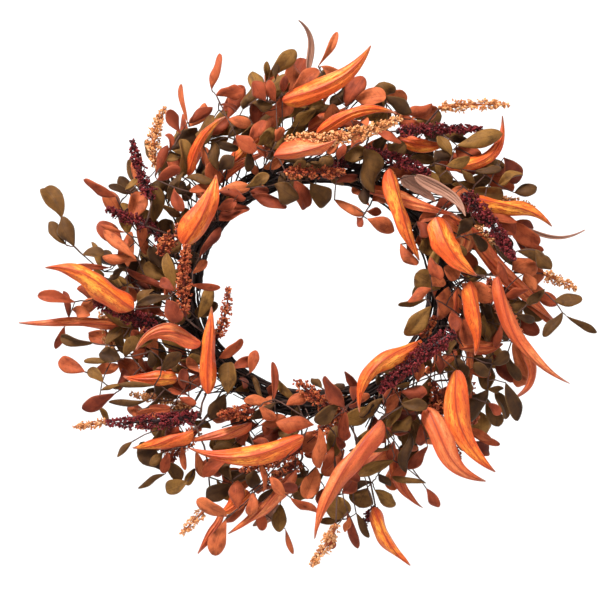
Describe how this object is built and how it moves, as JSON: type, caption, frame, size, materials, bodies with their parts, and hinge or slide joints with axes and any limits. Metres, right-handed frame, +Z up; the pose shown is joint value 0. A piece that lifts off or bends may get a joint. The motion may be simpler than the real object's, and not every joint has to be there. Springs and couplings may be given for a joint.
{
  "type": "harvest door wreath",
  "caption": "Nearly round wreath on a dark twig ring, with artificial autumn leaf sprays, long printed leaves, seed spikes and a folding wire hanging loop at the back.",
  "frame": {"origin": "middle of the twig ring, on the plane of the door that the wreath hangs against", "axes": "+Z up, +Y into the door, -Y towards the person who looks at the wreath"},
  "size_m": [0.581, 0.1121, 0.5463],
  "materials": {
    "variegated_leaf": "printed cloth, satin",
    "plain_leaf": "printed cloth, satin",
    "leaf_back": "unprinted cloth, matt",
    "olive_leaf": "matt cloth",
    "rust_leaf": "matt cloth",
    "burgundy_seed": "seed texture, satin",
    "copper_seed": "seed texture, satin",
    "peach_seed": "seed texture, satin",
    "twig": "dark bark",
    "dark_wire": "dark brown lacquer",
    "screw_steel": "plated"
  },
  "bodies": {
    "wreath": {"binding_wires": "dark_wire", "burgundy_spikes_1": "burgundy_seed", "burgundy_spikes_2": "burgundy_seed", "burgundy_spikes_3": "burgundy_seed", "burgundy_spikes_4": "burgundy_seed", "copper_spikes_1": "copper_seed", "copper_spikes_2": "copper_seed", "copper_spikes_3": "copper_seed", "copper_spikes_4": "copper_seed", "core_hoop": "twig", "hanger_plate": "dark_wire", "hanger_screws": "screw_steel", "olive_spray_1": "olive_leaf", "olive_spray_10": "olive_leaf", "olive_spray_2": "olive_leaf", "olive_spray_3": "olive_leaf", "olive_spray_4": "olive_leaf", "olive_spray_5": "olive_leaf", "olive_spray_6": "olive_leaf", "olive_spray_7": "olive_leaf", "olive_spray_8": "olive_leaf", "olive_spray_9": "olive_leaf", "peach_spikes_1": "peach_seed", "peach_spikes_2": "peach_seed", "peach_spikes_3": "peach_seed", "plain_leaves_1": "plain_leaf", "plain_leaves_2": "plain_leaf", "plain_leaves_3": "plain_leaf", "plain_leaves_4": "plain_leaf", "plain_leaves_5": "plain_leaf", "plain_leaves_6": "plain_leaf", "rust_spray_1": "rust_leaf", "rust_spray_10": "rust_leaf", "rust_spray_2": "rust_leaf", "rust_spray_3": "rust_leaf", "rust_spray_4": "rust_leaf", "rust_spray_5": "rust_leaf", "rust_spray_6": "rust_leaf", "rust_spray_7": "rust_leaf", "rust_spray_8": "rust_leaf", "rust_spray_9": "rust_leaf", "turned_leaves": "leaf_back", "twig_bundle_1": "twig", "twig_bundle_2": "twig", "twig_bundle_3": "twig", "twig_bundle_4": "twig", "twig_bundle_5": "twig", "twig_bundle_6": "twig", "variegated_leaves_1": "variegated_leaf", "variegated_leaves_2": "variegated_leaf", "variegated_leaves_3": "variegated_leaf", "variegated_leaves_4": "variegated_leaf", "variegated_leaves_5": "variegated_leaf", "variegated_leaves_6": "variegated_leaf", "variegated_leaves_7": "variegated_leaf", "variegated_leaves_8": "variegated_leaf"},
    "loop": {"hanger_loop": "dark_wire"}
  },
  "joints": [
    {"name": "loop_hinge", "type": "hinge", "parent": "wreath", "child": "loop", "pos_m": [0, -0.0026, 0.122], "axis": [-1, 0, 0], "range_deg": [0, 180]}
  ]
}
